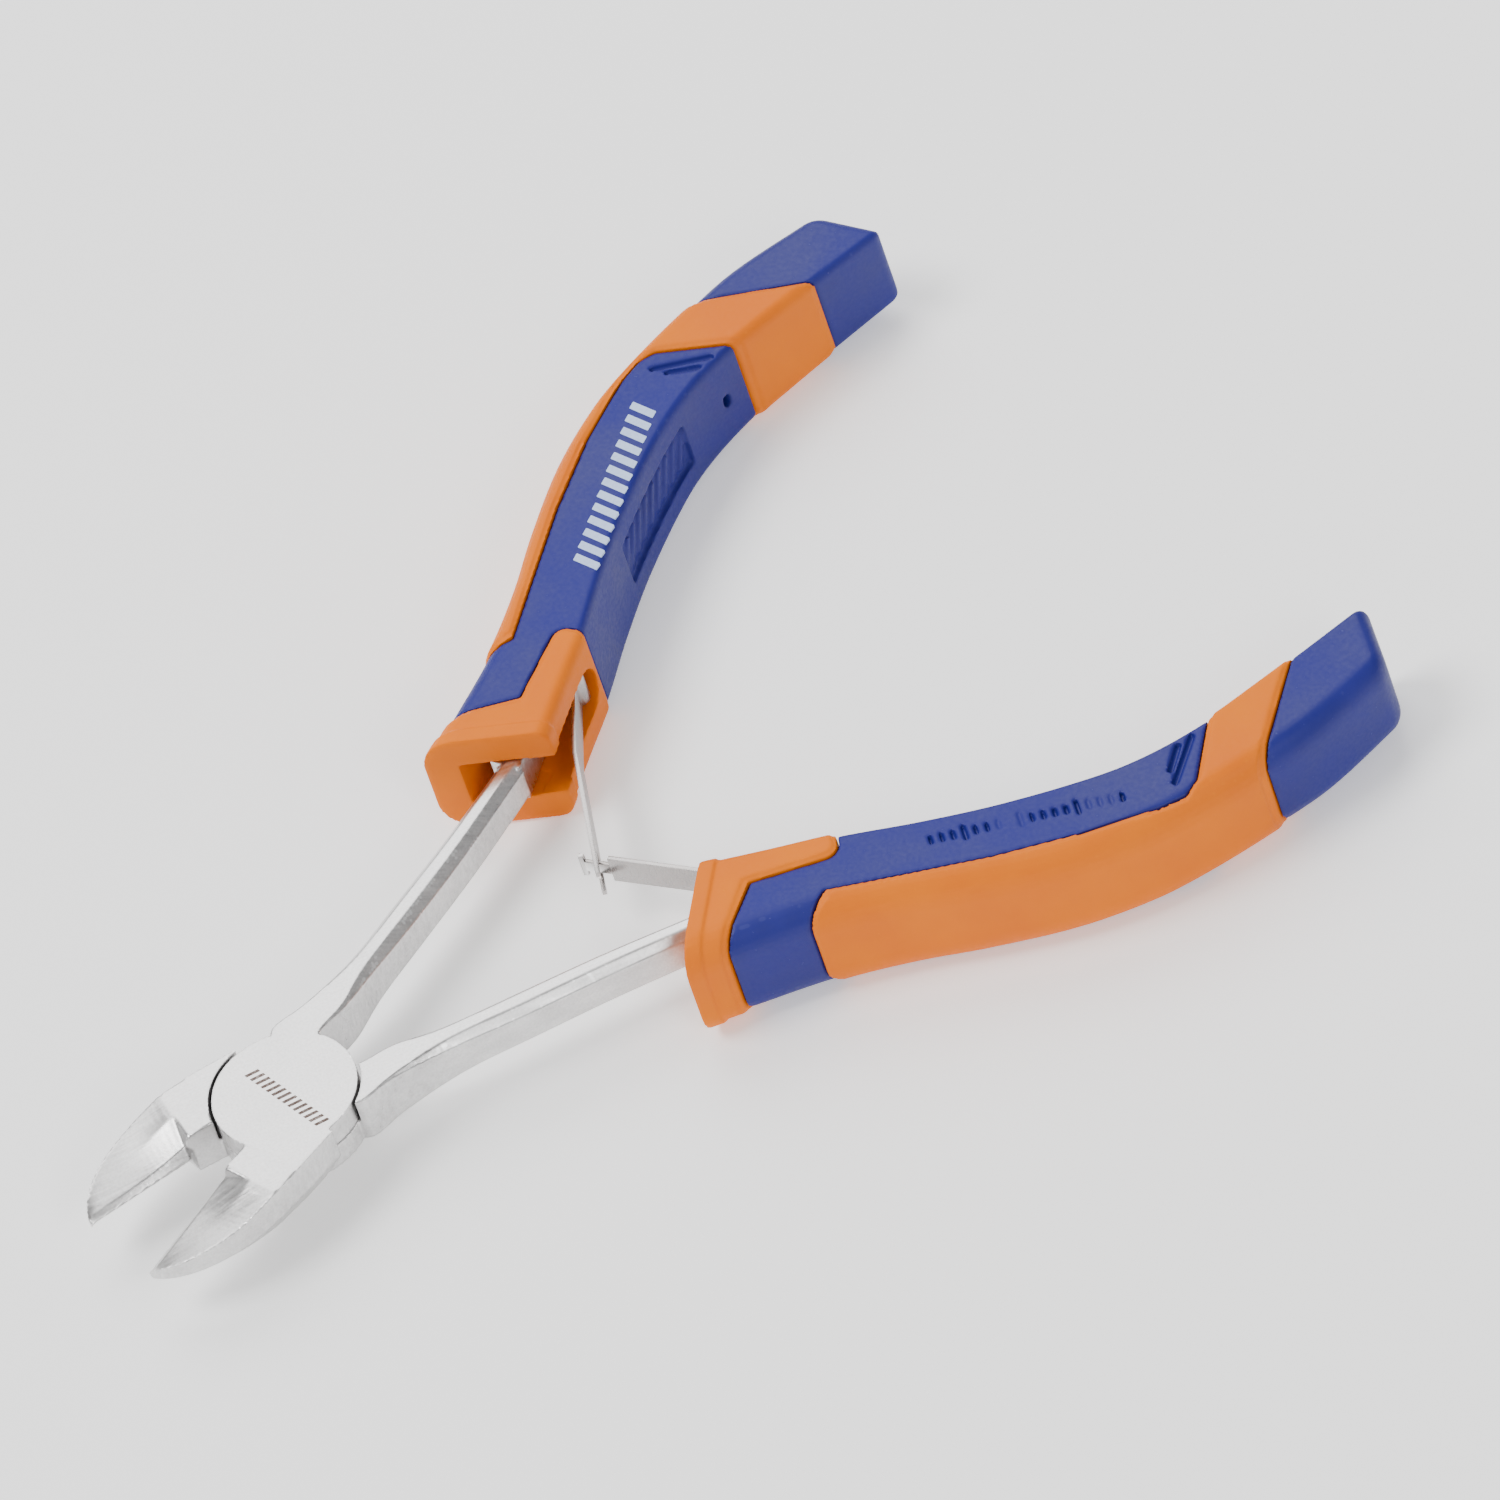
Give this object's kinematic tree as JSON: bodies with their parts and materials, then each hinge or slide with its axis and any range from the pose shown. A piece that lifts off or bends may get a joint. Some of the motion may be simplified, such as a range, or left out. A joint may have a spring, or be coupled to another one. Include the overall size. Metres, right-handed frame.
{
  "type": "mini diagonal cutting pliers",
  "caption": "Slim spring-opened flush side cutter with a hidden-rivet lap joint, long shanks, twin leaf springs and curved two-colour grips.",
  "frame": {"origin": "on the pivot axis, in the plane of the upper lap face of the head", "axes": "+Z along the pivot out of the upper face, +Y from the joint toward the grips, jaws toward -Y, +X to the right grip"},
  "size_m": [0.0832, 0.1172, 0.0116],
  "materials": {
    "tool_steel": "ground and satin polished",
    "rivet_steel": "ground flush",
    "spring_steel": "cold rolled strip",
    "hard_blue": "moulded, slight sheen",
    "soft_orange": "fine grained soft overmould"
  },
  "bodies": {
    "upper_half": {"lever_upper": "tool_steel", "pivot_rivet": "rivet_steel", "grip_core_left": "hard_blue", "front_collar_left": "soft_orange", "side_band_left": "soft_orange", "spring_pin_left": "spring_steel"},
    "lower_half": {"lever_lower": "tool_steel", "grip_core_right": "hard_blue", "front_collar_right": "soft_orange", "side_band_right": "soft_orange", "spring_pin_right": "spring_steel"},
    "left_leaf": {"spring_leaf_left": "spring_steel"},
    "right_leaf": {"spring_leaf_right": "spring_steel"}
  },
  "joints": [
    {"name": "pivot", "type": "hinge", "parent": "upper_half", "child": "lower_half", "pos_m": [0, 0, 0], "axis": [0, 0, 1], "range_deg": [0, 23], "stiffness_Nm_per_rad": 0.35, "springref_deg": -20.05},
    {"name": "left_leaf_root", "type": "hinge", "parent": "upper_half", "child": "left_leaf", "pos_m": [-0.01775, 0.0472, 0], "axis": [0, 0, 1], "range_deg": [-23, 0]},
    {"name": "right_leaf_root", "type": "hinge", "parent": "lower_half", "child": "right_leaf", "pos_m": [0.01775, 0.0472, 0], "axis": [0, 0, 1], "range_deg": [0, 23]}
  ],
  "couplings": [
    {"joint": "left_leaf_root", "follows": "pivot", "ratio": -0.98},
    {"joint": "right_leaf_root", "follows": "pivot", "ratio": 0.98}
  ]
}
